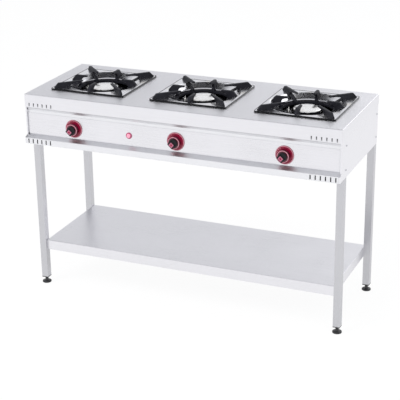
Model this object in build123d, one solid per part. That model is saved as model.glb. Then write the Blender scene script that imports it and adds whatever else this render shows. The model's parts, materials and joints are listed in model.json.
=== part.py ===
from build123d import *
import math
import os

# Three-burner gas range on an open stand, in millimetres.
# X runs to the right, Y to the back and Z up from the floor. While the pieces are built,
# Y is measured from the worktop's front face. At the end every piece shifts by origin_y,
# which puts the origin on the floor under the middle of the whole range.

# Worktop
top_width = 1406.0
top_depth = 522.0
top_height = 900.0
sheet = 1.5
fascia_height = 57.0
drop_height = 42.0
top_edge_radius = 3.0

# Body under the worktop
body_height = 216.0
lap_gap = 0.3
side_flange_width = 6.0
recess_depth = 10.0
recess_slope_height = 14.0
ledge_height = 39.0
strip_height = 27.0
strip_reach = 15.0
strip_return = 20.0
bend_radius = 2.0
frame_tuck = 32.0
panel_gap = 0.3

# Control panel, an inset plate on the front frame
plate_thickness = 1.2
plate_top_drop = 26.0
plate_bottom_margin = 2.0
plate_end_margin = 4.0

# Vent slots at both ends of the fascia and of the lower strip
vent_count = 6
vent_pitch = 21.0
vent_width = 5.0
fascia_vent_margin = 20.0
fascia_vent_height = 15.0
fascia_vent_lift = 4.0
strip_vent_margin = 17.0
strip_vent_height = 19.0
strip_vent_lift = 4.0

# Stand
leg_size = 30.0
leg_wall = 1.5
leg_setback = 47.6
leg_clear = 31.0
notch_gap = 0.3
shelf_height = 208.6
shelf_lip = 44.0
shelf_setback = 10.7
shelf_back_setback = 2.5
shelf_sheet = 1.2

# Levelling feet
foot_radius = 20.0
foot_height = 7.0
foot_edge = 2.0
neck_radius = 7.0
stem_radius = 5.0
stem_gap = 0.08
stem_length = 44.0
plug_flange = 4.0
plug_depth = 24.0
plug_gap = 0.1

# Burner places
burner_pitch = 463.5
burner_shift = 8.0
burner_y = 268.0
rest_gap = 0.3

# Surround, the raised black frame round each cut-out
surround_size = 343.0
surround_height = 6.4
surround_wall = 2.0
surround_ledge_width = 6.5
surround_ledge_height = 4.0
surround_lap = 6.0
surround_radius = 6.0

# Bowl
bowl_sheet = 1.5
bowl_edge_gap = 0.5
bowl_rim_width = 9.0
bowl_slope_width = 42.0
bowl_slope_drop = 17.0
bowl_well_depth = 23.0
bowl_bend = 6.0
bowl_collar_height = 8.0
probe_hole_gap = 2.0

# Grate
prong_thickness = 12.0
prong_rise = 20.2
prong_slant = 18.0
prong_shoulder_radius = 8.0
prong_edge = 2.5
side_tip_radius = 84.0
corner_tip_radius = 98.0
prong_tip_height = 6.5
side_leg_radius = 115.5
side_leg_drop = 29.0
corner_leg_radius = 156.0
prong_web = 3.2
prong_foot_start = 6.0
corner_prong_reach = 227.0
side_prong_reach = 156.0
grate_ring_gap = 1.0
grate_ring_width = 9.0
grate_ring_height = 9.0
grate_ring_drop = 8.0
slope_gap = 1.2

# Burner head, cap and mixing tube
cap_radius = 58.0
cap_height = 7.0
cap_dome = 4.0
cap_gap = 0.3
cap_spigot_gap = 0.5
cap_collar_gap = 12.0
head_radius = 55.0
head_height = 32.0
head_floor = 4.0
head_wall = 6.0
port_count = 24
port_width = 3.0
port_height = 8.0
burner_sink = 20.0
elbow_radius = 20.0
tube_radius = 17.0
tube_wall = 4.0
tube_drop = 85.0
mouth_radius = 24.0
mouth_length = 16.0
mouth_y = 95.0
carrier_width = 30.0
carrier_thickness = 8.0

# Spark electrode and thermocouple, placed from the burner's axis
electrode_x = -78.0
electrode_y = -8.0
electrode_radius = 3.5
electrode_drop = 6.0
electrode_tip_radius = 1.2
electrode_tip_length = 10.0
thermocouple_x = -74.0
thermocouple_y = -34.0
thermocouple_radius = 2.5
thermocouple_rise = 4.0
probe_arm_thickness = 5.0
probe_arm_margin = 9.0
probe_gap = 0.1
probe_drop = 23.0

# Rails that carry the burners
rail_width = 30.0
rail_thickness = 3.0
rail_flange = 14.0
rail_spacing = 156.0
rail_tube_gap = 1.0

# Gas taps, injectors and manifold
knob_pitch = 470.0
knob_shift = -5.0
knob_drop = 133.0
tap_barrel_radius = 13.0
tap_barrel_gap = 0.3
tap_block_front = 40.0
tap_block_back = 64.0
tap_block_side = 15.0
tap_block_drop = 15.0
tap_block_margin = 11.0
spindle_radius = 4.0
spindle_gap = 0.05
spindle_depth = 50.0
spindle_flat = 1.2
tap_floor = 3.0
injector_radius = 6.0
injector_length = 14.0
injector_tip_radius = 3.5
injector_tip_length = 7.0
injector_stem_radius = 5.0
injector_stem_length = 8.0
injector_bore = 0.8
fitting_gap = 0.1
pipe_radius = 10.5
pipe_wall = 2.5
pipe_inset = 60.0
pipe_bend = 32.0
pipe_overhang = 70.0
pipe_cap_length = 12.0
tap_inlet_radius = 6.0
inlet_reach = 33.0
inlet_thread = 28.0
inlet_relief_width = 3.0
inlet_relief_depth = 1.0
inlet_hole_gap = 3.0

# Dial and knob
dial_radius = 39.0
dial_thickness = 3.0
dial_edge = 1.0
dial_hole_gap = 3.0
knob_press = 3.0
knob_press_gap = 1.5
skirt_radius = 25.0
skirt_length = 16.0
skirt_wall = 3.0
skirt_recess = 6.0
skirt_edge = 2.0
grip_boss_radius = 17.0
grip_boss_height = 4.0
grip_bar_width = 30.0
grip_bar_reach = 22.0
grip_bar_height = 7.0
grip_edge = 1.5
hub_radius = 9.0
pointer_width = 17.0
pointer_length = 16.0
pointer_margin = 3.5
pointer_depth = 3.0
pointer_rise = 0.6
pointer_gap = 0.1
knob_angle = 227.0

# Igniter
igniter_x = -217.0
igniter_bezel_radius = 13.5
igniter_bezel_height = 3.0
igniter_body_radius = 10.8
igniter_body_length = 42.0
igniter_button_radius = 9.0
igniter_button_gap = 0.08
igniter_button_length = 24.0
igniter_button_rise = 3.5
igniter_well = 30.0
igniter_hole_gap = 0.2

# Screws
screw_radius = 2.0
screw_gap = 0.1
screw_length = 9.0
screw_head_radius = 4.0
screw_head_height = 2.2
side_screw_drops = (83.0, 184.0)
back_screw_drops = (70.0, 150.0)
shelf_screw_drop = 22.0

# Bottom and back panel vents
bottom_vent_rows = 2
bottom_vent_columns = 9
bottom_vent_length = 90.0
bottom_vent_width = 8.0
back_vent_columns = 9

# Levels and edges worked out from the sizes above
deck = top_height - sheet
fascia_bottom = top_height - fascia_height
drop_bottom = top_height - drop_height
body_bottom = top_height - body_height
body_side = top_width / 2 - sheet - lap_gap
leg_outer = body_side - sheet
body_back = top_depth - sheet - lap_gap
leg_back = body_back - sheet
ledge_top = body_bottom + ledge_height
strip_top = body_bottom + strip_height
side_front = sheet + lap_gap
frame_side = body_side - side_flange_width - panel_gap
plate_front = recess_depth - plate_thickness
plate_top = fascia_bottom - plate_top_drop
plate_bottom = ledge_top + plate_bottom_margin
knob_z = top_height - knob_drop
burner_places = [burner_shift + step * burner_pitch for step in (-1, 0, 1)]
knob_places = [knob_shift + step * knob_pitch for step in (-1, 0, 1)]
sides = ("left", "centre", "right")
leg_x = leg_outer - leg_size / 2
leg_rows = (leg_setback + leg_size / 2, leg_back - leg_size / 2)
leg_inner = leg_outer - leg_size
shelf_front = leg_setback + shelf_setback
shelf_back = leg_back - shelf_back_setback
bowl_size = surround_size - 2 * (surround_wall + bowl_edge_gap)
bowl_mouth_radius = bowl_size / 2 - bowl_rim_width
bowl_well_radius = bowl_mouth_radius - bowl_slope_width
flange_top = top_height + surround_ledge_height + rest_gap + bowl_sheet
well_top = flange_top - bowl_slope_drop
well_floor = well_top - bowl_well_depth
cap_seat = top_height - burner_sink
head_bottom = cap_seat - head_height
tube_z = cap_seat - tube_drop
rail_top = tube_z + tube_radius + rail_tube_gap + rail_flange + rail_thickness
probe_foot = rail_top + carrier_thickness - probe_drop
rail_rows = (burner_y - rail_spacing / 2, burner_y + rail_spacing / 2)
bowl_hole_radius = cap_radius + cap_collar_gap
dial_front = plate_front - dial_thickness
skirt_back = dial_front - knob_press - knob_press_gap
skirt_front = skirt_back - skirt_length
grip_front = skirt_front - grip_bar_height
knob_front = grip_front - pointer_rise
tap_bottom = knob_z - tap_block_drop
pipe_y = (tap_block_front + tap_block_back) / 2
pipe_z = tap_bottom - pipe_radius - rest_gap
inlet_x = leg_inner - pipe_inset / 2
inlet_end = body_back + inlet_reach
frame_back = recess_depth + sheet
origin_y = (min(knob_front, -strip_reach) + inlet_end) / 2


def block(x, y, z):
    """Box between a low and a high value on each axis."""
    spans = (x, y, z)
    middle = [(low + high) / 2 for low, high in spans]
    return Pos(*middle) * Box(*[high - low for low, high in spans])


def rod_x(radius, x, y, z):
    """Round bar along X between the pair x."""
    return Pos((x[0] + x[1]) / 2, y, z) * Rot(Y=90) * Cylinder(radius, x[1] - x[0])


def rod_y(radius, x, y, z):
    """Round bar along Y between the pair y."""
    return Pos(x, (y[0] + y[1]) / 2, z) * Rot(X=90) * Cylinder(radius, y[1] - y[0])


def rod_z(radius, x, y, z):
    """Round bar along Z between the pair z."""
    return Pos(x, y, (z[0] + z[1]) / 2) * Cylinder(radius, z[1] - z[0])


def square(size, radius, z, x=0.0, y=0.0):
    """Square plate with rounded corners between the pair z."""
    return Pos(x, y, z[0]) * extrude(RectangleRounded(size, size, radius), amount=z[1] - z[0])


def folded(path, thickness, x):
    """Bent sheet along X: the path holds the (y, z) of its outer face, the sheet lies on its left."""
    outer = FilletPolyline(*path, radius=bend_radius)
    face = make_face(offset(outer, amount=thickness, side=Side.LEFT))
    return Pos(x[0], 0, 0) * extrude(Plane.YZ * face, amount=x[1] - x[0])


def fused(solid, *pieces):
    """One solid out of several that overlap."""
    for piece in pieces:
        solid = solid + piece
    return solid


def cut(solid, *tools):
    """The solid with every tool taken out of it."""
    for tool in tools:
        solid = solid - tool
    return solid


def vents(margin, y, z):
    """Upright vent slots at both ends of a front sheet, counted inwards from the body's sides."""
    half = vent_width / 2
    inward = [body_side - margin - vent_pitch * step for step in range(vent_count)]
    return [block((side * x - half, side * x + half), y, z) for side in (-1, 1) for x in inward]


def ledge_line(y):
    """Height of the slanted ledge at a given depth."""
    share = (y + strip_reach) / (recess_depth + strip_reach)
    return strip_top + (ledge_top - strip_top) * share


def side_screw_places():
    """The (y, z) of the screws that hold a side panel to its two legs."""
    return [(y, top_height - drop) for y in leg_rows for drop in side_screw_drops]


def shelf_screw_rows():
    """Depths of the shelf's screws, each halfway along the overlap of its lip and a leg."""
    front = shelf_front + leg_setback + leg_size
    rear = shelf_back + leg_back - leg_size
    return (front / 2, rear / 2)


def back_screw_places():
    """The (x, z) of the screws that hold the back panel to the rear legs."""
    return [(side * leg_x, top_height - drop) for side in (-1, 1) for drop in back_screw_drops]


def worktop():
    """Pressed top with a deep front, shallow other drops and three square cut-outs."""
    half = top_width / 2
    shell = block((-half, half), (0, top_depth), (fascia_bottom, top_height))
    rounded = shell.edges().filter_by(Axis.Z) + shell.faces().sort_by(Axis.Z)[-1].edges()
    shell = fillet(rounded, top_edge_radius)
    inside = block((sheet - half, half - sheet), (sheet, top_depth - sheet), (fascia_bottom - 1, deck))
    below = block((-half - 1, half + 1), (sheet, top_depth + 1), (fascia_bottom - 1, drop_bottom))
    top = cut(shell, inside, below)
    opening = surround_size - 2 * surround_lap
    for x in burner_places:
        top = top - square(opening, surround_radius, (deck - 1, top_height + 1), x, burner_y)
    low = fascia_bottom + fascia_vent_lift
    slots = vents(fascia_vent_margin, (-1, sheet + 1), (low, low + fascia_vent_height))
    return cut(top, *slots)


def front_frame():
    """Front sheet: tucked edge, dark inward slope, flat, polished ledge, slotted strip and return."""
    path = [
        (sheet, fascia_bottom + frame_tuck),
        (sheet, fascia_bottom),
        (recess_depth, fascia_bottom - recess_slope_height),
        (recess_depth, ledge_top),
        (-strip_reach, strip_top),
        (-strip_reach, body_bottom),
        (strip_return - strip_reach, body_bottom),
    ]
    frame = folded(path, sheet, (-frame_side, frame_side))
    holes = [spindle_hole(x) for x in knob_places] + [igniter_hole()]
    strip = (-strip_reach - 1, sheet - strip_reach + 1)
    low = body_bottom + strip_vent_lift
    slots = vents(strip_vent_margin, strip, (low, low + strip_vent_height))
    return cut(frame, *holes, *slots)


def spindle_hole(x):
    """Clearance for a tap spindle through the dial, the plate and the front frame."""
    return rod_y(spindle_radius + dial_hole_gap, x, (-50, frame_back + 5), knob_z)


def igniter_hole():
    """Hole for the igniter's body through the plate and the front frame."""
    return rod_y(igniter_body_radius + igniter_hole_gap, igniter_x, (-50, frame_back + 5), knob_z)


def control_panel():
    """Flat plate on the front frame."""
    half = frame_side - plate_end_margin
    plate = block((-half, half), (plate_front, recess_depth), (plate_bottom, plate_top))
    return cut(plate, *[spindle_hole(x) for x in knob_places], igniter_hole())


def leg_notch(side, y):
    """Notch for a leg through the sheets at the bottom of the body, open to the leg's outer face."""
    half = leg_size / 2 + notch_gap
    span = (leg_inner - notch_gap, leg_outer)
    x = span if side > 0 else (-span[1], -span[0])
    return block(x, (y - half, y + half), (body_bottom - 1, body_bottom + 2 * sheet + 1))


def side_panel(side):
    """Outer side sheet with a folded front edge that follows the front frame, and a bottom flange."""
    corner = ledge_line(side_front)
    front = [(side_front, deck), (side_front, corner), (-strip_reach, strip_top), (-strip_reach, body_bottom)]
    rear = [(body_back, body_bottom), (body_back, deck)]
    face = Plane.YZ * make_face(Polyline(*front, *rear, close=True))
    panel = Pos(leg_outer, 0, 0) * extrude(face, amount=sheet)
    edge = folded(front + rear[:1], sheet, (body_side - side_flange_width, body_side))
    panel = cut(fused(panel, edge), *[leg_notch(1, y) for y in leg_rows])
    for y, z in side_screw_places():
        panel = panel - rod_x(screw_radius + screw_gap, (leg_outer - 1, body_side + 1), y, z)
    return panel if side > 0 else mirror(panel, about=Plane.YZ)


def back_panel():
    """Rear sheet with vent slots and a hole for the gas inlet."""
    panel = block((-leg_outer, leg_outer), (leg_back, body_back), (body_bottom + sheet, deck))
    middle = (body_bottom + deck) / 2
    pitch = 2 * leg_inner / (back_vent_columns + 1)
    for column in range(back_vent_columns):
        x = (column + 1) * pitch - leg_inner
        slot = Pos(x, leg_back, middle) * Rot(X=90) * SlotOverall(bottom_vent_length, bottom_vent_width)
        panel = panel - extrude(slot, amount=2 * sheet, both=True)
    panel = panel - rod_y(pipe_radius + inlet_hole_gap, inlet_x, (leg_back - 1, body_back + 1), pipe_z)
    for x, z in back_screw_places():
        panel = panel - rod_y(screw_radius + screw_gap, x, (leg_back - 1, body_back + 1), z)
    return panel


def bottom_panel():
    """Sheet that closes the body below, notched round the legs and slotted for air."""
    low = body_bottom + sheet
    front = bend_radius + panel_gap - strip_reach
    panel = block((-leg_outer, leg_outer), (front, leg_back), (low, low + sheet))
    panel = cut(panel, *[leg_notch(side, y) for side in (-1, 1) for y in leg_rows])
    pitch_x = 2 * leg_inner / (bottom_vent_columns + 1)
    pitch_y = top_depth / (bottom_vent_rows + 1)
    for column in range(bottom_vent_columns):
        for row in range(bottom_vent_rows):
            x = (column + 1) * pitch_x - leg_inner
            slot = Pos(x, (row + 1) * pitch_y, low - 1) * SlotOverall(bottom_vent_length, bottom_vent_width)
            panel = panel - extrude(slot, amount=sheet + 2)
    return panel


def leg(side, row):
    """Square tube from above the foot to the underside of the worktop, drilled for its screws."""
    x = side * leg_x
    y = leg_rows[row]
    half = leg_size / 2
    hollow = half - leg_wall
    tube = block((x - half, x + half), (y - half, y + half), (leg_clear, deck))
    tube = tube - block((x - hollow, x + hollow), (y - hollow, y + hollow), (leg_clear - 1, deck + 1))
    drill = screw_radius + screw_gap
    for drop in side_screw_drops:
        outer = (leg_outer - 2 * leg_wall, leg_outer + 1)
        span = outer if side > 0 else (-outer[1], -outer[0])
        tube = tube - rod_x(drill, span, y, top_height - drop)
    if row == 1:
        for drop in back_screw_drops:
            tube = tube - rod_y(drill, x, (leg_back - 2 * leg_wall, leg_back + 1), top_height - drop)
    inner = (leg_inner - 1, leg_inner + 2 * leg_wall)
    span = inner if side > 0 else (-inner[1], -inner[0])
    return tube - rod_x(drill, span, shelf_screw_rows()[row], shelf_height - shelf_screw_drop)


def leg_plug(side, y):
    """Plug in a leg's lower end: a square flange, a spigot in the tube and a bore for the stem."""
    x = side * leg_x
    half = leg_size / 2
    spigot = half - leg_wall - plug_gap
    flange = block((x - half, x + half), (y - half, y + half), (leg_clear - plug_flange, leg_clear))
    top = leg_clear + plug_depth
    inner = block((x - spigot, x + spigot), (y - spigot, y + spigot), (leg_clear - 1, top))
    bore = rod_z(stem_radius + stem_gap, x, y, (leg_clear - plug_flange - 1, top + 1))
    return fused(flange, inner) - bore


def foot(side, y):
    """Levelling foot: disc, collar that stops under the plug, and stem."""
    x = side * leg_x
    neck_top = leg_clear - plug_flange - rest_gap
    disc = Cylinder(foot_radius, foot_height)
    disc = Pos(x, y, foot_height / 2) * chamfer(disc.edges().sort_by(Axis.Z)[-1], foot_edge)
    neck = rod_z(neck_radius, x, y, (foot_height - 1, neck_top))
    return fused(disc, neck, rod_z(stem_radius, x, y, (neck_top - 1, neck_top + stem_length)))


def shelf():
    """Plain sheet between the legs, with all four edges folded down."""
    low = shelf_height - shelf_lip
    outer = block((-leg_inner, leg_inner), (shelf_front, shelf_back), (low, shelf_height))
    outer = fillet(outer.faces().sort_by(Axis.Z)[-1].edges(), bend_radius)
    inset = shelf_sheet
    inside = block((inset - leg_inner, leg_inner - inset), (shelf_front + inset, shelf_back - inset),
                   (low - 1, shelf_height - inset))
    drill = screw_radius + screw_gap
    span = (-leg_inner - 1, leg_inner + 1)
    level = shelf_height - shelf_screw_drop
    return cut(outer, inside, *[rod_x(drill, span, y, level) for y in shelf_screw_rows()])


def surround(x):
    """Raised frame round a cut-out, with a ledge inside for the bowl's flange."""
    rim_top = top_height + surround_height
    outer = square(surround_size, surround_radius + surround_wall, (top_height, rim_top))
    inner_size = surround_size - 2 * surround_wall
    ledge_top = top_height + surround_ledge_height
    pocket = square(inner_size, surround_radius, (ledge_top, rim_top + 1))
    mouth_size = surround_size - 2 * surround_ledge_width
    mouth = square(mouth_size, surround_radius / 2, (top_height - 1, ledge_top + 1))
    return Pos(x, burner_y, 0) * cut(outer, pocket, mouth)


def bowl(x):
    """Pressed bowl: square flange, shallow slope, deep well and a collared hole for the burner."""
    flange = square(bowl_size, surround_radius, (flange_top - bowl_sheet, flange_top))
    flange = flange - rod_z(bowl_mouth_radius + 1, 0, 0, (flange_top - 2 * bowl_sheet, flange_top + 1))
    dish = revolve(Plane.XZ * bowl_section(), axis=Axis.Z)
    rim = well_floor + bowl_collar_height
    collar = rod_z(bowl_hole_radius + bowl_sheet, 0, 0, (well_floor - bowl_sheet, rim))
    collar = collar - rod_z(bowl_hole_radius, 0, 0, (well_floor - 9, rim + 1))
    shape = fused(flange, dish, collar)
    for hole_x, hole_y, radius in probe_places():
        shape = shape - rod_z(radius + probe_hole_gap, hole_x, hole_y, (well_floor - 9, well_floor + 9))
    return Pos(x, burner_y, 0) * shape


def bowl_section():
    """Half section of the pressed bowl: its upper face and the same path one sheet lower."""
    upper = FilletPolyline(
        (bowl_mouth_radius + 5, flange_top),
        (bowl_mouth_radius, flange_top),
        (bowl_well_radius, well_top),
        (bowl_well_radius, well_floor),
        (bowl_hole_radius, well_floor),
        radius=[2.0, bowl_bend, bowl_bend],
    )
    return make_face(offset(upper, amount=bowl_sheet, side=Side.LEFT))


def probe_places():
    """Place and radius of the spark electrode and the thermocouple, from the burner's axis."""
    return [
        (electrode_x, electrode_y, electrode_radius),
        (thermocouple_x, thermocouple_y, thermocouple_radius),
    ]


def slope_height(radius):
    """Height of a line that runs one slope_gap above the bowl's slope."""
    share = (bowl_mouth_radius - radius) / (bowl_mouth_radius - bowl_well_radius)
    return flange_top + slope_gap - bowl_slope_drop * share


def prong_underside(reach):
    """Lower line of a prong from its end inwards: flat foot on the flange, then one gap above the slope."""
    foot = flange_top + rest_gap
    level = bowl_mouth_radius + prong_foot_start
    mouth = (bowl_mouth_radius, slope_height(bowl_mouth_radius))
    underside = [(reach, slope_height(reach))]
    if reach > bowl_mouth_radius:
        underside = [(reach, mouth[1]), mouth]
    if reach > level:
        underside = [(reach, foot), (level, foot), mouth]
    last = bowl_well_radius + grate_ring_gap
    return underside + [(last, slope_height(last))]


def prong(reach, angle, tip, leg, leg_top):
    """Cast prong: leg over the flange or the slope, arch to a thin tip, web to the ring and a slanted end."""
    top = flange_top + prong_rise
    tip_bottom = top - prong_tip_height
    ring_outer = bowl_well_radius - grate_ring_gap
    ring_inner = ring_outer - grate_ring_width
    ring_low = well_top - grate_ring_drop - grate_ring_height
    lower = prong_underside(reach) + [
        (ring_outer, well_top),
        (ring_outer, ring_low),
        (ring_inner, ring_low),
        (ring_inner, slope_height(ring_inner) + prong_web),
        (leg, slope_height(leg) + prong_web),
    ]
    if leg_top > lower[-1][1]:
        lower.append((leg, leg_top))
    level = lower[-1][1]
    arch = EllipticalCenterArc((tip, level), leg - tip, tip_bottom - level, arc_size=90)
    upper = [(tip, tip_bottom), (tip, top), (reach - prong_slant, top), lower[0]]
    face = make_face(Polyline(*lower) + arch + Polyline(*upper))
    face = fillet(nearest(face, reach - prong_slant, top), prong_shoulder_radius)
    face = fillet(nearest(face, tip, top), prong_tip_height / 2)
    body = extrude(Plane.XZ * face, amount=prong_thickness / 2, both=True)
    return Rot(Z=angle) * round_prong(body)


def nearest(face, x, y):
    """The vertex of a face that lies closest to a point, as a list of one."""
    return face.vertices().sort_by(lambda vertex: math.hypot(vertex.X - x, vertex.Y - y))[:1]


def round_prong(body):
    """Round the long upper edges of a prong on both of its sides."""
    half = prong_thickness / 2
    high = flange_top + prong_rise - prong_tip_height
    picked = [
        edge for edge in body.edges().filter_by(lambda item: item.bounding_box().size.Y < 0.01)
        if abs(abs(edge.center().Y) - half) < 0.01 and edge.center().Z > high
    ]
    return fillet(picked, prong_edge)


def grate(x):
    """Cast grate: four corner prongs and four side prongs joined by a low ring in the well."""
    ring_outer = bowl_well_radius - grate_ring_gap
    high = well_top - grate_ring_drop
    low = high - grate_ring_height
    ring = rod_z(ring_outer, 0, 0, (low, high))
    ring = ring - rod_z(ring_outer - grate_ring_width, 0, 0, (low - 1, high + 1))
    leg_top = flange_top + prong_rise - side_leg_drop
    shape = ring
    for quarter in range(4):
        shape = shape + prong(side_prong_reach, 90 * quarter, side_tip_radius, side_leg_radius, leg_top)
        shape = shape + prong(corner_prong_reach, 90 * quarter + 45, corner_tip_radius, corner_leg_radius, 0)
    return Pos(x, burner_y, 0) * shape


def burner_body(x):
    """Casting: ported head, chamber, elbow, mixing tube with a flared mouth, carrier bar and probe arm."""
    head = rod_z(head_radius, 0, 0, (head_bottom, cap_seat))
    chamber = rod_z(head_radius - head_wall, 0, 0, (head_bottom + head_floor, cap_seat + 1))
    elbow = rod_z(elbow_radius, 0, 0, (tube_z - elbow_radius, head_bottom + head_floor))
    front = mouth_y - burner_y
    tube = rod_y(tube_radius, 0, (front, 0), tube_z)
    mouth = Pos(0, front, tube_z) * Rot(X=-90) * Pos(0, 0, mouth_length / 2) * Cone(
        mouth_radius, tube_radius, mouth_length)
    bore = tube_radius - tube_wall
    flare = Pos(0, front, tube_z) * Rot(X=-90) * Pos(0, 0, mouth_length / 2 - 0.01) * Cone(
        mouth_radius - tube_wall, bore, mouth_length)
    reach = rail_spacing / 2 + rail_width / 2
    half = carrier_width / 2
    carrier = block((-half, half), (-reach, reach), (rail_top, rail_top + carrier_thickness))
    arm_left = min(electrode_x, thermocouple_x) - probe_arm_margin
    arm_front = min(electrode_y, thermocouple_y) - probe_arm_margin
    arm_back = max(electrode_y, thermocouple_y) + probe_arm_margin
    arm_top = rail_top + carrier_thickness
    arm = block((arm_left, 0), (arm_front, arm_back), (arm_top - probe_arm_thickness, arm_top))
    shape = fused(head, elbow, tube, mouth, carrier, arm)
    elbow_low = tube_z - elbow_radius + tube_wall
    passages = [
        chamber,
        flare,
        rod_y(bore, 0, (front - 1, 0), tube_z),
        rod_z(elbow_radius - tube_wall, 0, 0, (elbow_low, head_bottom + head_floor + 1)),
    ]
    slot_z = (cap_seat - port_height, cap_seat + 1)
    for port in range(port_count):
        slot = block((0, head_radius + 5), (-port_width / 2, port_width / 2), slot_z)
        passages.append(Rot(Z=360 / port_count * (port + 0.5)) * slot)
    for hole_x, hole_y, radius in probe_places():
        passages.append(rod_z(radius + probe_gap, hole_x, hole_y, (arm_top - 20, arm_top + 1)))
    return Pos(x, burner_y, 0) * cut(shape, *passages)


def burner_cap(x):
    """Polished lid on the ported head, with a spigot that centres it."""
    low = cap_seat + cap_gap
    disc = rod_z(cap_radius, 0, 0, (low, low + cap_height))
    disc = fillet(disc.edges().sort_by(Axis.Z)[-1], cap_height / 2)
    flat = cap_radius - cap_height / 2
    sphere = (flat ** 2 + cap_dome ** 2) / (2 * cap_dome)
    ball = Pos(0, 0, low + cap_height + cap_dome - sphere) * Sphere(sphere)
    dome = ball & rod_z(flat, 0, 0, (low + cap_height - 1, low + cap_height + cap_dome + 1))
    spigot = rod_z(head_radius - head_wall - cap_spigot_gap, 0, 0, (cap_seat - port_height + 2, low + 1))
    return Pos(x, burner_y, 0) * fused(disc, dome, spigot)


def electrode(x):
    """Ceramic rod with a thin metal tip, standing in the probe arm."""
    top = cap_seat - electrode_drop
    ceramic = rod_z(electrode_radius, electrode_x, electrode_y, (probe_foot, top))
    tip = rod_z(electrode_tip_radius, electrode_x, electrode_y, (top - 1, top + electrode_tip_length))
    return Pos(x, burner_y, 0) * fused(ceramic, tip)


def thermocouple(x):
    """Thin probe with a rounded tip, standing in the probe arm."""
    top = cap_seat + thermocouple_rise
    probe = rod_z(thermocouple_radius, thermocouple_x, thermocouple_y, (probe_foot, top))
    return Pos(x, burner_y, 0) * fillet(probe.edges().sort_by(Axis.Z)[-1], thermocouple_radius / 2)


def rail(y):
    """Angle across the body between the side panels."""
    half = rail_width / 2
    plate = block((-leg_outer, leg_outer), (y - half, y + half), (rail_top - rail_thickness, rail_top))
    low = rail_top - rail_thickness - rail_flange
    flange = block((-leg_outer, leg_outer), (y + half - rail_thickness, y + half), (low, rail_top))
    return fused(plate, flange)


def tap_body(knob_x, burner_x):
    """Gas tap: spindle barrel, block, threaded outlet to the injector and inlet stub into the manifold."""
    start = frame_back + tap_barrel_gap
    barrel = rod_y(tap_barrel_radius, knob_x, (start, tap_block_front + 1), knob_z)
    right = burner_x + tap_block_margin
    left = min(knob_x - tap_block_side, burner_x - tap_block_margin)
    block_top = tube_z + tap_block_margin
    body = block((left, right), (tap_block_front, tap_block_back), (tap_bottom, block_top))
    stub = rod_z(tap_inlet_radius, knob_x, pipe_y, (pipe_z + pipe_radius - pipe_wall, tap_bottom + 1))
    bore = rod_y(spindle_radius + spindle_gap, knob_x, (start - 1, spindle_depth + tap_floor), knob_z)
    stem_hole = injector_stem_radius + fitting_gap
    outlet = rod_y(stem_hole, burner_x, (tap_block_back - injector_stem_length, tap_block_back + 1), tube_z)
    return cut(fused(body, barrel, stub), bore, outlet)


def injector(x):
    """Brass jet in the tap's outlet, pointing into the burner's mixing tube."""
    end = tap_block_back + injector_length
    start = tap_block_back - injector_stem_length + 1
    stem = rod_y(injector_stem_radius, x, (start, tap_block_back + 1), tube_z)
    hexagon = Pos(x, tap_block_back, tube_z) * Rot(X=-90) * extrude(
        RegularPolygon(injector_radius, 6), amount=injector_length)
    tip = rod_y(injector_tip_radius, x, (end - 1, end + injector_tip_length), tube_z)
    bore = rod_y(injector_bore, x, (tap_block_back - 20, end + injector_tip_length + 1), tube_z)
    return fused(stem, hexagon, tip) - bore


def tap_spindle(x):
    """Turning spindle with a flat on the end that the knob slides on."""
    front = skirt_front + 1
    shaft = rod_y(spindle_radius, x, (front, spindle_depth), knob_z)
    return shaft - spindle_flat_tool(x, spindle_radius - spindle_flat, front - 1, frame_back)


def spindle_flat_tool(x, height, front, back):
    """Block that leaves a flat at the given height above the spindle's axis."""
    size = 2 * spindle_radius
    return block((x - size, x + size), (front, back), (knob_z + height, knob_z + height + size))


def manifold():
    """Gas pipe under the taps, closed at the left, bent to the back, with a groove behind its thread."""
    start = knob_places[0] - pipe_overhang
    path = FilletPolyline((start, pipe_y), (inlet_x, pipe_y), (inlet_x, inlet_end), radius=pipe_bend)
    path = Pos(0, 0, pipe_z) * path
    section = Plane(path @ 0, z_dir=path % 0)
    pipe = sweep(section * Circle(pipe_radius), path=path)
    bore = sweep(section * Circle(pipe_radius - pipe_wall), path=path)
    lid = rod_x(pipe_radius, (start, start + pipe_cap_length), pipe_y, pipe_z)
    pipe = fused(pipe - bore, lid)
    for x in knob_places:
        hole = rod_z(tap_inlet_radius + fitting_gap, x, pipe_y, (pipe_z, pipe_z + 2 * pipe_radius))
        pipe = pipe - hole
    groove_end = inlet_end - inlet_thread
    groove = (groove_end - inlet_relief_width, groove_end)
    relief = rod_y(pipe_radius + 1, inlet_x, groove, pipe_z)
    relief = relief - rod_y(pipe_radius - inlet_relief_depth, inlet_x, groove, pipe_z)
    return pipe - relief


def dial(x):
    """Flat disc behind a knob."""
    disc = rod_y(dial_radius, x, (dial_front, plate_front), knob_z)
    disc = chamfer(disc.edges().sort_by(Axis.Y)[0], dial_edge)
    return disc - spindle_hole(x)


def knob_turn(x, shape):
    """Turn a shape drawn pointing to the right so that it points at the knob's rest angle."""
    return Pos(x, 0, knob_z) * Rot(Y=-knob_angle) * shape


def knob_bore(x):
    """Socket for the spindle's flatted end, with room for the knob's travel."""
    front = skirt_front + 1 - rest_gap
    bore = rod_y(spindle_radius + spindle_gap, x, (front - knob_press, plate_front), knob_z)
    flat = spindle_radius - spindle_flat + spindle_gap
    return bore - spindle_flat_tool(x, flat, front - knob_press - 1, plate_front + 1)


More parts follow.
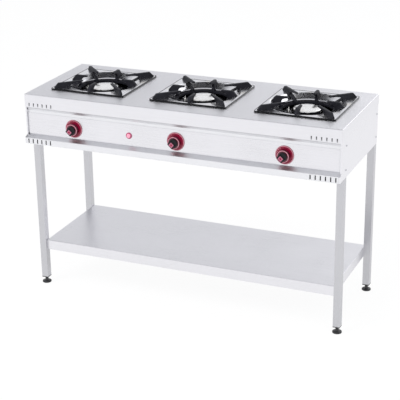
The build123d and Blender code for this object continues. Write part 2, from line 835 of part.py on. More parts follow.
def knob_skirt(x):
    """Raised ring of the knob, hollow behind round a hub that slides on the spindle."""
    ring = rod_y(skirt_radius, x, (skirt_front, skirt_back), knob_z)
    ring = fillet(ring.edges().sort_by(Axis.Y)[0], skirt_edge)
    recess = rod_y(skirt_radius - skirt_wall, x, (skirt_back - skirt_recess, skirt_back + 1), knob_z)
    hub = rod_y(hub_radius, x, (skirt_back - skirt_recess - 1, skirt_back), knob_z)
    return fused(ring - recess, hub) - knob_bore(x)


def pointer_block(grow):
    """Place of the pointer insert in the bar, larger on each side by grow."""
    end = grip_bar_reach - pointer_margin
    half = pointer_width / 2
    front = grip_front - pointer_rise
    return block((end - pointer_length - grow, end + grow), (front, grip_front + pointer_depth),
                 (-half - grow, half + grow))


def knob_grip(x):
    """Boss and grip bar on the knob's front, with a pocket for the pointer."""
    boss = rod_y(grip_boss_radius, 0, (skirt_front - grip_boss_height, skirt_front), 0)
    boss = fillet(boss.edges().sort_by(Axis.Y)[0], grip_edge)
    half = grip_bar_width / 2
    bar = block((0, grip_bar_reach), (grip_front, skirt_front), (-half, half))
    bar = fillet(bar.edges().filter_by(Axis.Y).sort_by(Axis.X)[-2:], 2 * grip_edge)
    bar = fillet(bar.faces().sort_by(Axis.Y)[0].edges(), grip_edge)
    shape = fused(boss, bar) - pointer_block(pointer_gap)
    return knob_turn(x, shape) - knob_bore(x)


def knob_pointer(x):
    """Insert in the end of the grip bar."""
    insert = pointer_block(0)
    return knob_turn(x, insert)


def igniter_housing():
    """Igniter body behind the plate, with a round bezel in front and a well for the button."""
    bezel_front = plate_front - igniter_bezel_height
    bezel = rod_y(igniter_bezel_radius, igniter_x, (bezel_front, plate_front), knob_z)
    bezel = fillet(bezel.edges().sort_by(Axis.Y)[0], igniter_bezel_height / 2)
    body = rod_y(igniter_body_radius, igniter_x, (plate_front - 1, plate_front + igniter_body_length), knob_z)
    radius = igniter_button_radius + igniter_button_gap
    well = rod_y(radius, igniter_x, (bezel_front - 1, bezel_front + igniter_well), knob_z)
    return fused(bezel, body) - well


def igniter_button():
    """Round push button."""
    front = plate_front - igniter_bezel_height - igniter_button_rise
    button = rod_y(igniter_button_radius, igniter_x, (front, front + igniter_button_length), knob_z)
    return fillet(button.edges().sort_by(Axis.Y)[0], igniter_bezel_height / 2)


def screw():
    """Domed screw along Z, head up, with its seat at the origin."""
    head = Pos(0, 0, screw_head_height / 2) * Cylinder(screw_head_radius, screw_head_height)
    head = fillet(head.edges().sort_by(Axis.Z)[-1], screw_head_height / 2)
    shank = rod_z(screw_radius, 0, 0, (-screw_length, 1))
    return fused(head, shank)


def panel_screws():
    """Screws of the side panels and the back panel."""
    placed = []
    for side in (-1, 1):
        for y, z in side_screw_places():
            placed.append(Pos(side * body_side, y, z) * Rot(Y=90 * side) * screw())
    for x, z in back_screw_places():
        placed.append(Pos(x, body_back, z) * Rot(X=-90) * screw())
    return Compound(children=placed)


def shelf_screws():
    """Screws through the shelf's end lips into the legs."""
    placed = []
    for side in (-1, 1):
        for y in shelf_screw_rows():
            seat = Pos(side * (leg_inner - shelf_sheet), y, shelf_height - shelf_screw_drop)
            placed.append(seat * Rot(Y=-90 * side) * screw())
    return Compound(children=placed)


def save(name, shape):
    """Write one node, shifted so that the origin lies under the middle of the range."""
    export_step(Pos(0, -origin_y, 0) * shape, os.path.join("parts", name + ".step"))


def save_stand():
    """Write the worktop, the body and the stand."""
    save("worktop", worktop())
    save("front_frame", front_frame())
    save("control_panel", control_panel())
    save("side_panel_left", side_panel(-1))
    save("side_panel_right", side_panel(1))
    save("back_panel", back_panel())
    save("bottom_panel", bottom_panel())
    save("shelf", shelf())
    for row, row_name in enumerate(("front", "rear")):
        for side, side_name in ((-1, "left"), (1, "right")):
            save(f"leg_{row_name}_{side_name}", leg(side, row))
            save(f"foot_{row_name}_{side_name}", foot(side, leg_rows[row]))
    save("leg_plugs", Compound(children=[leg_plug(side, y) for side in (-1, 1) for y in leg_rows]))
    save("panel_screws", panel_screws())
    save("shelf_screws", shelf_screws())


def save_burners():
    """Write the pieces of the three burners."""
    for name, x in zip(sides, burner_places):
        save(f"surround_{name}", surround(x))
        save(f"bowl_{name}", bowl(x))
        save(f"grate_{name}", grate(x))
        save(f"burner_body_{name}", burner_body(x))
        save(f"burner_cap_{name}", burner_cap(x))
    save("spark_electrodes", Compound(children=[electrode(x) for x in burner_places]))
    save("thermocouples", Compound(children=[thermocouple(x) for x in burner_places]))
    for name, y in zip(("front", "rear"), rail_rows):
        save(f"burner_rail_{name}", rail(y))


def save_controls():
    """Write the knobs, the taps, the gas pipe and the igniter."""
    for name, x, burner_x in zip(sides, knob_places, burner_places):
        save(f"dial_{name}", dial(x))
        save(f"knob_skirt_{name}", knob_skirt(x))
        save(f"knob_grip_{name}", knob_grip(x))
        save(f"knob_pointer_{name}", knob_pointer(x))
        save(f"tap_spindle_{name}", tap_spindle(x))
        save(f"tap_body_{name}", tap_body(x, burner_x))
    save("injectors", Compound(children=[injector(x) for x in burner_places]))
    save("gas_manifold", manifold())
    save("igniter_housing", igniter_housing())
    save("igniter_button", igniter_button())


os.makedirs("parts", exist_ok=True)
save_stand()
save_burners()
save_controls()
print(f"origin_y {origin_y:.3f}  inlet {inlet_x:.3f} {inlet_end - origin_y:.3f} {pipe_z:.3f}")
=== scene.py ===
"""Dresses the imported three-burner gas range: finishes, fine pieces, studio light and camera.

The range stands on the floor with +X to the right, +Y to the back and +Z up, in metres.
"""
import json
import logging
import math
from collections.abc import Iterable
from dataclasses import dataclass, field
from enum import Enum

import bpy
from mathutils import Matrix, Vector

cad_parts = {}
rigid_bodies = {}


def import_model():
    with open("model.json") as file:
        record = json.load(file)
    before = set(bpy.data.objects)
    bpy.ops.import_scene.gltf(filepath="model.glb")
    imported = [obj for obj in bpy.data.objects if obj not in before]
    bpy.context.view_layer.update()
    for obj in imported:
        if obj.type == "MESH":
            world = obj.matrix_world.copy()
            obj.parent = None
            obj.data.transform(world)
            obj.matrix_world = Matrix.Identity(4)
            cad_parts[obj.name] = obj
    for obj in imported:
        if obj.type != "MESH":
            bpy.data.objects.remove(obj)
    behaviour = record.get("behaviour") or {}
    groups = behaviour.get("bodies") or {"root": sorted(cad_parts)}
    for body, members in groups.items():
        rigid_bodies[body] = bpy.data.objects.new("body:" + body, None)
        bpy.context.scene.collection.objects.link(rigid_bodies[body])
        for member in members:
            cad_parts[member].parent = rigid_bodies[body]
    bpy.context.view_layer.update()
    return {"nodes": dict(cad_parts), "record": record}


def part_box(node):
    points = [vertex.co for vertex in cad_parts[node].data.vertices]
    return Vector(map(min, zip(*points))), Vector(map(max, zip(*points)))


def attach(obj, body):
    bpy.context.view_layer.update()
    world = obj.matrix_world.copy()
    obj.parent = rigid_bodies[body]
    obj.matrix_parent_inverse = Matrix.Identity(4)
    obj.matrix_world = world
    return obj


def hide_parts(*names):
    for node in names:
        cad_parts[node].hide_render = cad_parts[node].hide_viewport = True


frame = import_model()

LOG = logging.getLogger("range")
SIDES = ("left", "centre", "right")
ROOT = "range_body"
CORNERS = ("front_left", "front_right", "rear_left", "rear_right")
OWN_FINISH = {
    "shelf": "stainless_shelf",
    "front_frame": "stainless_recess",
    "control_panel": "stainless_plate",
    "igniter_button": "button_pink",
}
MM = 1000.0  # Millimetres in a metre.
Triple = tuple[float, float, float]
Colour = Triple
EVEN: Triple = (1.0, 1.0, 1.0)
WHITE = (1.0, 1.0, 1.0, 1.0)
CURVED = ("bowl", "surround", "grate", "burner_body", "burner_cap", "dial", "knob_grip", "knob_pointer")
SMOOTHED = ("igniter_housing", "igniter_button", *(f"{kind}_{side}" for side in SIDES for kind in CURVED))


class Grain(Enum):
    """Direction in which a sheet of steel was brushed."""

    ALONG_X = (0.35, 60.0, 60.0)
    ALONG_Z = (60.0, 60.0, 0.35)


class NodeWriter:
    """Small helper that adds shader nodes to one material and links them."""

    # Sockets of the mix node that carry colours.
    MIX_SHARE, MIX_FIRST, MIX_SECOND, MIX_RESULT = 0, 6, 7, 2

    def __init__(self, name: str) -> None:
        """Start an empty node material.

        Args:
            name: Name of the material.
        """
        self.material = bpy.data.materials.new(name)
        self.material.use_nodes = True
        self.tree = self.material.node_tree
        self.tree.nodes.clear()
        self.output = self.add("ShaderNodeOutputMaterial")
        self.coords = self.add("ShaderNodeTexCoord")

    def add(self, kind: str, **values: object) -> bpy.types.Node:
        """Add a node and set its properties or inputs.

        Args:
            kind: Blender's name of the node type.
            **values: Properties of the node, or inputs with spaces written as underscores.

        Returns:
            The new node.
        """
        node = self.tree.nodes.new(kind)
        for key, value in values.items():
            label = key.replace("_", " ")
            if label in node.inputs:
                node.inputs[label].default_value = value
            else:
                setattr(node, key, value)
        return node

    def link(self, source: bpy.types.NodeSocket, target: bpy.types.NodeSocket) -> None:
        """Join an output socket to an input socket."""
        self.tree.links.new(source, target)

    def mapped(self, scale: Triple = EVEN, offset: Triple = (0.0, 0.0, 0.0)) -> bpy.types.NodeSocket:
        """Object coordinates, moved and then scaled.

        Args:
            scale: Factor on each axis.
            offset: Point of the object that becomes the pattern's centre.

        Returns:
            The vector socket of the mapping.
        """
        mapping = self.add("ShaderNodeMapping")
        mapping.inputs["Scale"].default_value = scale
        mapping.inputs["Location"].default_value = tuple(-o * s for o, s in zip(offset, scale))
        self.link(self.coords.outputs["Object"], mapping.inputs["Vector"])
        return mapping.outputs["Vector"]

    def noise(self, vector: bpy.types.NodeSocket, scale: float, detail: float = 3.0,
              roughness: float = 0.5) -> bpy.types.NodeSocket:
        """Noise pattern.

        Args:
            vector: Coordinates to read.
            scale: Pattern scale.
            detail: Number of octaves.
            roughness: Share of the finer octaves.

        Returns:
            The factor socket.
        """
        node = self.add("ShaderNodeTexNoise", Scale=scale, Detail=detail, Roughness=roughness)
        self.link(vector, node.inputs["Vector"])
        return node.outputs["Fac"]

    def span(self, value: bpy.types.NodeSocket, low: float, high: float, start: float = 0.3,
             end: float = 0.7) -> bpy.types.NodeSocket:
        """Map a factor between start and end onto the span low to high.

        Args:
            value: The factor to map.
            low: Result at start.
            high: Result at end.
            start: Factor that gives low.
            end: Factor that gives high.

        Returns:
            The result socket.
        """
        node = self.add("ShaderNodeMapRange")
        for key, number in (("From Min", start), ("From Max", end), ("To Min", low), ("To Max", high)):
            node.inputs[key].default_value = number
        self.link(value, node.inputs["Value"])
        return node.outputs["Result"]

    def blend(self, value: bpy.types.NodeSocket, low: Colour, high: Colour, start: float = 0.3,
              end: float = 0.7) -> bpy.types.NodeSocket:
        """Colour ramp between two colours.

        Args:
            value: The factor to read.
            low: Colour at start.
            high: Colour at end.
            start: Factor of the first colour.
            end: Factor of the second colour.

        Returns:
            The colour socket.
        """
        ramp = self.add("ShaderNodeValToRGB")
        first, second = ramp.color_ramp.elements
        first.position, second.position = start, end
        first.color, second.color = (*low, 1.0), (*high, 1.0)
        self.link(value, ramp.inputs["Fac"])
        return ramp.outputs["Color"]

    def sum(self, first: bpy.types.NodeSocket, second: bpy.types.NodeSocket,
            share: float) -> bpy.types.NodeSocket:
        """Add a share of one pattern to another.

        Args:
            first: Pattern that counts in full.
            second: Pattern of which a share is added.
            share: The share.

        Returns:
            The socket of the sum.
        """
        node = self.add("ShaderNodeMath", operation="MULTIPLY_ADD")
        node.inputs[1].default_value = share
        self.link(second, node.inputs[0])
        self.link(first, node.inputs[2])
        return node.outputs["Value"]

    def bump(self, height: bpy.types.NodeSocket, strength: float, distance: float) -> bpy.types.NodeSocket:
        """Bump from a height pattern.

        Args:
            height: The height pattern.
            strength: Strength from 0 to 1.
            distance: Depth in metres.

        Returns:
            The normal socket.
        """
        node = self.add("ShaderNodeBump", Strength=strength, Distance=distance)
        self.link(height, node.inputs["Height"])
        return node.outputs["Normal"]

    def by_height(self, colour: bpy.types.NodeSocket, other: Colour, start: float,
                  end: float) -> bpy.types.NodeSocket:
        """Mix a colour into another one between two heights.

        Args:
            colour: Colour at and beyond the first height.
            other: Colour at and beyond the second height.
            start: First height in metres.
            end: Second height in metres.

        Returns:
            The mixed colour socket.
        """
        parts = self.add("ShaderNodeSeparateXYZ")
        self.link(self.coords.outputs["Object"], parts.inputs["Vector"])
        low, high = sorted((start, end))
        share = self.span(parts.outputs["Z"], float(start > end), float(end > start), low, high)
        mix = self.add("ShaderNodeMix", data_type="RGBA")
        self.link(share, mix.inputs[self.MIX_SHARE])
        self.link(colour, mix.inputs[self.MIX_FIRST])
        mix.inputs[self.MIX_SECOND].default_value = (*other, 1.0)
        return mix.outputs[self.MIX_RESULT]

    def surface(self, **values: object) -> bpy.types.Node:
        """Add the main shader and join it to the output.

        Args:
            **values: Properties or inputs of the shader, as in add.

        Returns:
            The shader.
        """
        shader = self.add("ShaderNodeBsdfPrincipled", **values)
        self.link(shader.outputs["BSDF"], self.output.inputs["Surface"])
        return shader


def shade(colour: Colour, factor: float) -> Colour:
    """The colour made lighter or darker by a factor."""
    return tuple(min(1.0, channel * factor) for channel in colour)


@dataclass(frozen=True)
class BrushedSteel:
    """Stainless sheet with long brush lines, soft clouds and handling marks."""

    name: str
    colour: Colour
    grain: Grain
    roughness: float
    contrast: float = 0.05
    # Height, blend and colour of the painted shade under the fascia.
    painted_shade_above: float | None = None
    painted_shade_blend: float = 0.02
    painted_shade_colour: Colour = (0.10, 0.10, 0.105)
    line_scale: float = 22.0
    line_depth: float = 0.00002
    cloud_scale: float = 5.0
    speck_scale: float = 240.0
    smoother: float = 0.07
    rougher: float = 0.09

    def build(self) -> bpy.types.Material:
        """Build the material; above one height the colour darkens to painted shade, standing for the shadow
        under the fascia.

        Returns:
            The material.
        """
        pen = NodeWriter(self.name)
        lines = pen.noise(pen.mapped(self.grain.value), self.line_scale, detail=4.0, roughness=0.65)
        clouds = pen.noise(pen.mapped(), self.cloud_scale)
        specks = pen.noise(pen.mapped(), self.speck_scale, detail=2.0)
        shader = pen.surface(Metallic=1.0)
        dark, bright = shade(self.colour, 1 - self.contrast), shade(self.colour, 1 + self.contrast)
        colour = pen.blend(pen.sum(lines, clouds, share=0.6), dark, bright, start=0.5, end=1.1)
        # Painted shade: above the given height the colour blends to dark grey, standing for the shadow under
        # the fascia.
        if self.painted_shade_above is not None:
            fully_shaded = self.painted_shade_above + self.painted_shade_blend
            colour = pen.by_height(colour, self.painted_shade_colour, self.painted_shade_above, fully_shaded)
        pen.link(colour, shader.inputs["Base Color"])
        wear = pen.sum(pen.sum(lines, clouds, share=0.8), specks, share=0.15)
        low, high = self.roughness - self.smoother, self.roughness + self.rougher
        pen.link(pen.span(wear, low, high, start=0.6, end=1.3), shader.inputs["Roughness"])
        pen.link(pen.bump(lines, strength=0.35, distance=self.line_depth), shader.inputs["Normal"])
        return pen.material


@dataclass(frozen=True)
class TurnedSteel:
    """Polished metal with fine rings about an upright axis, a faint heat tint in soft clouds, and painted
    shade below one height where asked.
    """

    name: str
    centre: Triple
    colour: Colour
    ring_scale: float = 420.0
    ring_depth: float = 0.000004
    cloud_scale: float = 28.0
    tint: Colour = (0.80, 0.77, 0.73)
    # Height, blend and colour of the painted shade low in the burner's well.
    well_shade_below: float | None = None
    well_shade_blend: float = 0.006
    well_shade_colour: Colour = (0.16, 0.155, 0.17)
    roughness: float = 0.2
    smoother: float = 0.03
    rougher: float = 0.06

    def build(self) -> bpy.types.Material:
        """Build the material; below one height the colour darkens to painted shade, standing for the shadow
        deep in the burner's well.

        Returns:
            The material.
        """
        pen = NodeWriter(self.name)
        local = pen.mapped(offset=self.centre)
        rings = pen.add("ShaderNodeTexWave", wave_type="RINGS", rings_direction="Z", Scale=self.ring_scale,
                        Distortion=0.6, Detail=2.0)
        pen.link(local, rings.inputs["Vector"])
        clouds = pen.noise(local, self.cloud_scale, detail=4.0)
        shader = pen.surface(Metallic=1.0)
        colour = pen.blend(clouds, self.tint, self.colour, start=0.25, end=0.5)
        # Painted shade: below the given height the colour blends to dark grey, standing for the shadow in the
        # well.
        if self.well_shade_below is not None:
            darkest = self.well_shade_below - self.well_shade_blend
            colour = pen.by_height(colour, self.well_shade_colour, self.well_shade_below, darkest)
        pen.link(colour, shader.inputs["Base Color"])
        wear = pen.sum(clouds, rings.outputs["Fac"], share=0.15)
        low, high = self.roughness - self.smoother, self.roughness + self.rougher
        pen.link(pen.span(wear, low, high, start=0.3, end=0.9), shader.inputs["Roughness"])
        relief = pen.bump(rings.outputs["Fac"], strength=0.1, distance=self.ring_depth)
        pen.link(relief, shader.inputs["Normal"])
        return pen.material


@dataclass(frozen=True)
class CastIron:
    """Sand-cast iron with a matt black coat, fine grain and paler rubbed spots."""

    name: str
    colour: Colour = (0.006, 0.006, 0.009)
    worn: Colour = (0.017, 0.017, 0.023)
    grain_scale: float = 900.0
    lump_scale: float = 130.0
    patch_scale: float = 24.0
    depth: float = 0.00025
    roughness: float = 0.5
    smoother: float = 0.1
    rougher: float = 0.16

    def build(self) -> bpy.types.Material:
        """Build the material.

        Returns:
            The material.
        """
        pen = NodeWriter(self.name)
        local = pen.mapped()
        grain = pen.noise(local, self.grain_scale, roughness=0.6)
        lumps = pen.noise(local, self.lump_scale, detail=4.0, roughness=0.6)
        patches = pen.noise(local, self.patch_scale)
        shader = pen.surface(Specular_IOR_Level=0.28)
        tone = pen.sum(patches, lumps, share=0.5)
        pen.link(pen.blend(tone, self.colour, self.worn, start=0.55, end=1.0), shader.inputs["Base Color"])
        low, high = self.roughness - self.smoother, self.roughness + self.rougher
        wear = pen.sum(patches, grain, share=0.4)
        pen.link(pen.span(wear, low, high, start=0.4, end=1.0), shader.inputs["Roughness"])
        relief = pen.bump(pen.sum(grain, lumps, share=1.4), strength=0.5, distance=self.depth)
        pen.link(relief, shader.inputs["Normal"])
        return pen.material


@dataclass(frozen=True)
class Enamel:
    """Glossy vitreous enamel with a faint ripple and pinholes."""

    name: str
    colour: Colour = (0.004, 0.004, 0.005)
    ripple_scale: float = 60.0
    ripple_depth: float = 0.0003
    dust_scale: float = 500.0
    roughness: float = 0.16
    smoother: float = 0.04
    rougher: float = 0.12

    def build(self) -> bpy.types.Material:
        """Build the material.

        Returns:
            The material.
        """
        pen = NodeWriter(self.name)
        local = pen.mapped()
        ripple = pen.noise(local, self.ripple_scale, detail=2.0)
        dust = pen.noise(local, self.dust_scale, detail=2.0)
        shader = pen.surface(Coat_Weight=0.05, Coat_Roughness=0.08, Specular_IOR_Level=0.2)
        pen.link(pen.blend(ripple, self.colour, shade(self.colour, factor=1.7)), shader.inputs["Base Color"])
        low, high = self.roughness - self.smoother, self.roughness + self.rougher
        wear = pen.sum(ripple, dust, share=0.4)
        pen.link(pen.span(wear, low, high, start=0.4, end=1.0), shader.inputs["Roughness"])
        pen.link(pen.bump(ripple, strength=0.12, distance=self.ripple_depth), shader.inputs["Normal"])
        return pen.material


@dataclass(frozen=True)
class MouldedPlastic:
    """Moulded plastic with a fine skin, a faint flow pattern and small scuffs."""

    name: str
    colour: Colour
    roughness: float = 0.25
    coat: float = 0.4
    skin: float = 0.00005
    shine: float = 0.5
    skin_scale: float = 1400.0
    flow_stretch: Triple = (1.0, 1.0, 3.0)
    flow_scale: float = 45.0
    scuff_stretch: Triple = (1.0, 4.0, 0.6)
    scuff_scale: float = 380.0
    smoother: float = 0.06
    rougher: float = 0.16

    def build(self) -> bpy.types.Material:
        """Build the material.

        Returns:
            The material.
        """
        pen = NodeWriter(self.name)
        skin = pen.noise(pen.mapped(), self.skin_scale, detail=2.0)
        flow = pen.noise(pen.mapped(self.flow_stretch), self.flow_scale)
        scuffs = pen.noise(pen.mapped(self.scuff_stretch), self.scuff_scale, detail=4.0, roughness=0.7)
        shader = pen.surface(Coat_Weight=self.coat, Coat_Roughness=0.1, Specular_IOR_Level=self.shine)
        dark, bright = shade(self.colour, factor=0.86), shade(self.colour, factor=1.12)
        pen.link(pen.blend(flow, dark, bright), shader.inputs["Base Color"])
        low, high = self.roughness - self.smoother, self.roughness + self.rougher
        wear = pen.sum(flow, scuffs, share=0.5)
        pen.link(pen.span(wear, low, high, start=0.5, end=1.1), shader.inputs["Roughness"])
        pen.link(pen.bump(skin, strength=0.3, distance=self.skin), shader.inputs["Normal"])
        return pen.material


@dataclass(frozen=True)
class MachinedMetal:
    """Turned or drawn metal such as brass fittings, spindles, screws and pipe."""

    name: str
    colour: Colour
    roughness: float = 0.28
    stain: Colour = (0.5, 0.5, 0.5)
    stain_share: float = 0.2
    mark_stretch: Triple = (3.0, 30.0, 3.0)
    mark_scale: float = 160.0
    mark_depth: float = 0.00003
    patch_scale: float = 55.0
    smoother: float = 0.08
    rougher: float = 0.14

    def build(self) -> bpy.types.Material:
        """Build the material.

        Returns:
            The material.
        """
        pen = NodeWriter(self.name)
        marks = pen.noise(pen.mapped(self.mark_stretch), self.mark_scale)
        patches = pen.noise(pen.mapped(), self.patch_scale, detail=4.0)
        shader = pen.surface(Metallic=1.0)
        share = self.stain_share
        stained = tuple(c * (1 - share) + s * share for c, s in zip(self.colour, self.stain))
        pen.link(pen.blend(patches, stained, self.colour, start=0.35, end=0.6), shader.inputs["Base Color"])
        low, high = self.roughness - self.smoother, self.roughness + self.rougher
        wear = pen.sum(patches, marks, share=0.5)
        pen.link(pen.span(wear, low, high, start=0.5, end=1.1), shader.inputs["Roughness"])
        pen.link(pen.bump(marks, strength=0.2, distance=self.mark_depth), shader.inputs["Normal"])
        return pen.material


@dataclass(frozen=True)
class Ceramic:
    """Unglazed technical ceramic with fine pores and a breath of soot."""

    name: str
    colour: Colour = (0.86, 0.85, 0.81)
    pore_scale: float = 1100.0
    pore_depth: float = 0.00004
    soot_scale: float = 90.0
    smoothest: float = 0.38
    roughest: float = 0.6

    def build(self) -> bpy.types.Material:
        """Build the material.

        Returns:
            The material.
        """
        pen = NodeWriter(self.name)
        pores = pen.noise(pen.mapped(), self.pore_scale)
        soot = pen.noise(pen.mapped(), self.soot_scale)
        shader = pen.surface()
        sooty = shade(self.colour, factor=0.8)
        pen.link(pen.blend(soot, sooty, self.colour, start=0.35, end=0.55), shader.inputs["Base Color"])
        pen.link(pen.span(pores, self.smoothest, self.roughest), shader.inputs["Roughness"])
        pen.link(pen.bump(pores, strength=0.3, distance=self.pore_depth), shader.inputs["Normal"])
        return pen.material


@dataclass(frozen=True)
class Lamp:
    """Square soft lamp."""

    name: str
    place: Triple
    size: float
    energy: float
    mirrored: bool

    def hang(self, aim: Triple) -> None:
        """Add the lamp, turned to a point; polished surfaces show it only where mirrored says so.

        Args:
            aim: The point, in metres.
        """
        bpy.ops.object.light_add(type="AREA", location=self.place)
        lamp = bpy.context.object
        lamp.name = self.name
        lamp.data.size = self.size
        lamp.data.energy = self.energy
        lamp.visible_glossy = self.mirrored
        direction = Vector(aim) - Vector(self.place)
        lamp.rotation_euler = direction.to_track_quat("-Z", "Y").to_euler()


@dataclass
class Studio:
    """White sweep, soft lamps and pale surroundings."""

    lamps: tuple[Lamp, ...] = (
        Lamp("key_lamp", (-2.6, -3.2, 4.6), 3.0, 200.0, False),
        Lamp("fill_lamp", (3.8, -2.6, 3.0), 3.0, 70.0, False),
        Lamp("back_lamp", (1.6, 3.8, 4.0), 4.0, 60.0, True),
    )
    aim: Triple = (0.0, 0.0, 0.55)
    floor_size: float = 60.0
    floor_low: Colour = (0.90, 0.90, 0.91)
    floor_high: Colour = (0.93, 0.93, 0.93)
    floor_scale: float = 3.0
    seen_glow: float = 0.93
    mirrored_glow: float = 0.62
    card_place: Triple = (-0.6, 1.5, 4.0)
    card_size: Triple = (6.0, 2.2, 1.0)
    card_low: Colour = (0.008, 0.008, 0.009)
    card_high: Colour = (0.02, 0.02, 0.022)
    card_scale: float = 40.0
    world_tint: tuple[float, float, float, float] = (0.96, 0.97, 1.0, 1.0)
    world_level: float = 0.85

    def build(self) -> None:
        """Build the floor, the lamps, the card and the world."""
        self.floor()
        for lamp in self.lamps:
            lamp.hang(self.aim)
        self.black_card()
        self.world()
        bpy.context.scene.view_settings.view_transform = "Standard"

    def floor(self) -> None:
        """Pale floor that shows as white to the camera and in reflections, and keeps soft shadows."""
        bpy.ops.mesh.primitive_plane_add(size=self.floor_size)
        plane = bpy.context.object
        plane.name = "studio_floor"
        pen = NodeWriter("studio_floor")
        path = pen.add("ShaderNodeLightPath")
        direct = pen.add("ShaderNodeMath", operation="MAXIMUM")
        pen.link(path.outputs["Is Camera Ray"], direct.inputs[0])
        pen.link(path.outputs["Is Transmission Ray"], direct.inputs[1])
        mirrored = pen.add("ShaderNodeMath", operation="MULTIPLY")
        mirrored.inputs[1].default_value = self.mirrored_glow
        pen.link(path.outputs["Is Glossy Ray"], mirrored.inputs[0])
        share = pen.sum(mirrored.outputs[0], direct.outputs[0], self.seen_glow)
        grain = pen.noise(pen.mapped(), self.floor_scale, detail=2.0)
        diffuse = pen.add("ShaderNodeBsdfDiffuse")
        pen.link(pen.blend(grain, self.floor_low, self.floor_high), diffuse.inputs["Color"])
        glow = pen.add("ShaderNodeEmission", Color=WHITE, Strength=1.0)
        mix = pen.add("ShaderNodeMixShader")
        pen.link(share, mix.inputs["Fac"])
        pen.link(diffuse.outputs[0], mix.inputs[1])
        pen.link(glow.outputs[0], mix.inputs[2])
        pen.link(mix.outputs[0], pen.output.inputs["Surface"])
        plane.data.materials.append(pen.material)

    def black_card(self) -> None:
        """Dark card above and behind the range, which only its reflections show."""
        bpy.ops.mesh.primitive_grid_add(x_subdivisions=2, y_subdivisions=2, size=1.0,
                                        location=self.card_place)
        card = bpy.context.object
        card.name = "studio_card"
        card.scale = self.card_size
        pen = NodeWriter("studio_card")
        weave = pen.noise(pen.mapped(), self.card_scale, detail=2.0)
        cloth = pen.add("ShaderNodeBsdfDiffuse")
        pen.link(pen.blend(weave, self.card_low, self.card_high), cloth.inputs["Color"])
        pen.link(cloth.outputs[0], pen.output.inputs["Surface"])
        card.data.materials.append(pen.material)
        card.visible_camera = card.visible_diffuse = card.visible_shadow = False
        card.visible_transmission = False

    def world(self) -> None:
        """White background for the camera, softer light for everything else."""
        world = bpy.data.worlds.new("studio")
        bpy.context.scene.world = world
        world.use_nodes = True
        tree = world.node_tree
        tree.nodes.clear()
        output = tree.nodes.new("ShaderNodeOutputWorld")
        path = tree.nodes.new("ShaderNodeLightPath")
        white = tree.nodes.new("ShaderNodeBackground")
        white.inputs["Color"].default_value = WHITE
        white.inputs["Strength"].default_value = 1.0
        soft = tree.nodes.new("ShaderNodeBackground")
        soft.inputs["Color"].default_value = self.world_tint
        soft.inputs["Strength"].default_value = self.world_level
        mix = tree.nodes.new("ShaderNodeMixShader")
        direct = tree.nodes.new("ShaderNodeMath")
        direct.operation = "MAXIMUM"
        tree.links.new(path.outputs["Is Camera Ray"], direct.inputs[0])
        tree.links.new(path.outputs["Is Transmission Ray"], direct.inputs[1])
        tree.links.new(direct.outputs[0], mix.inputs["Fac"])
        tree.links.new(soft.outputs[0], mix.inputs[1])
        tree.links.new(white.outputs[0], mix.inputs[2])
        tree.links.new(mix.outputs[0], output.inputs["Surface"])


@dataclass
class Viewpoint:
    """Camera at the photograph's place and angle, with its angles in degrees and its lens in millimetres."""

    place: Triple = (1.97451, -4.63159, 2.38316)
    yaw: float = 23.2019
    pitch: float = 21.3226
    roll: float = -0.7972
    lens: float = 111.56
    sensor: float = 36.0
    reach: float = 200.0

    def build(self) -> None:
        """Build the camera and make it the scene's own."""
        yaw, pitch, roll = (math.radians(angle) for angle in (self.yaw, self.pitch, self.roll))
        back = Vector((math.sin(yaw) * math.cos(pitch), -math.cos(yaw) * math.cos(pitch), math.sin(pitch)))
        right = Vector((math.cos(yaw), math.sin(yaw), 0.0))
        up = back.cross(right)
        across = math.cos(roll) * right + math.sin(roll) * up
        above = math.cos(roll) * up - math.sin(roll) * right
        data = bpy.data.cameras.new("camera")
        data.lens = self.lens
        data.sensor_fit = "HORIZONTAL"
        data.sensor_width = self.sensor
        data.clip_end = self.reach
        camera = bpy.data.objects.new("camera", data)
        bpy.context.scene.collection.objects.link(camera)
        turn = Matrix((across, above, back)).transposed().to_4x4()
        camera.matrix_world = Matrix.Translation(self.place) @ turn
        bpy.context.scene.camera = camera


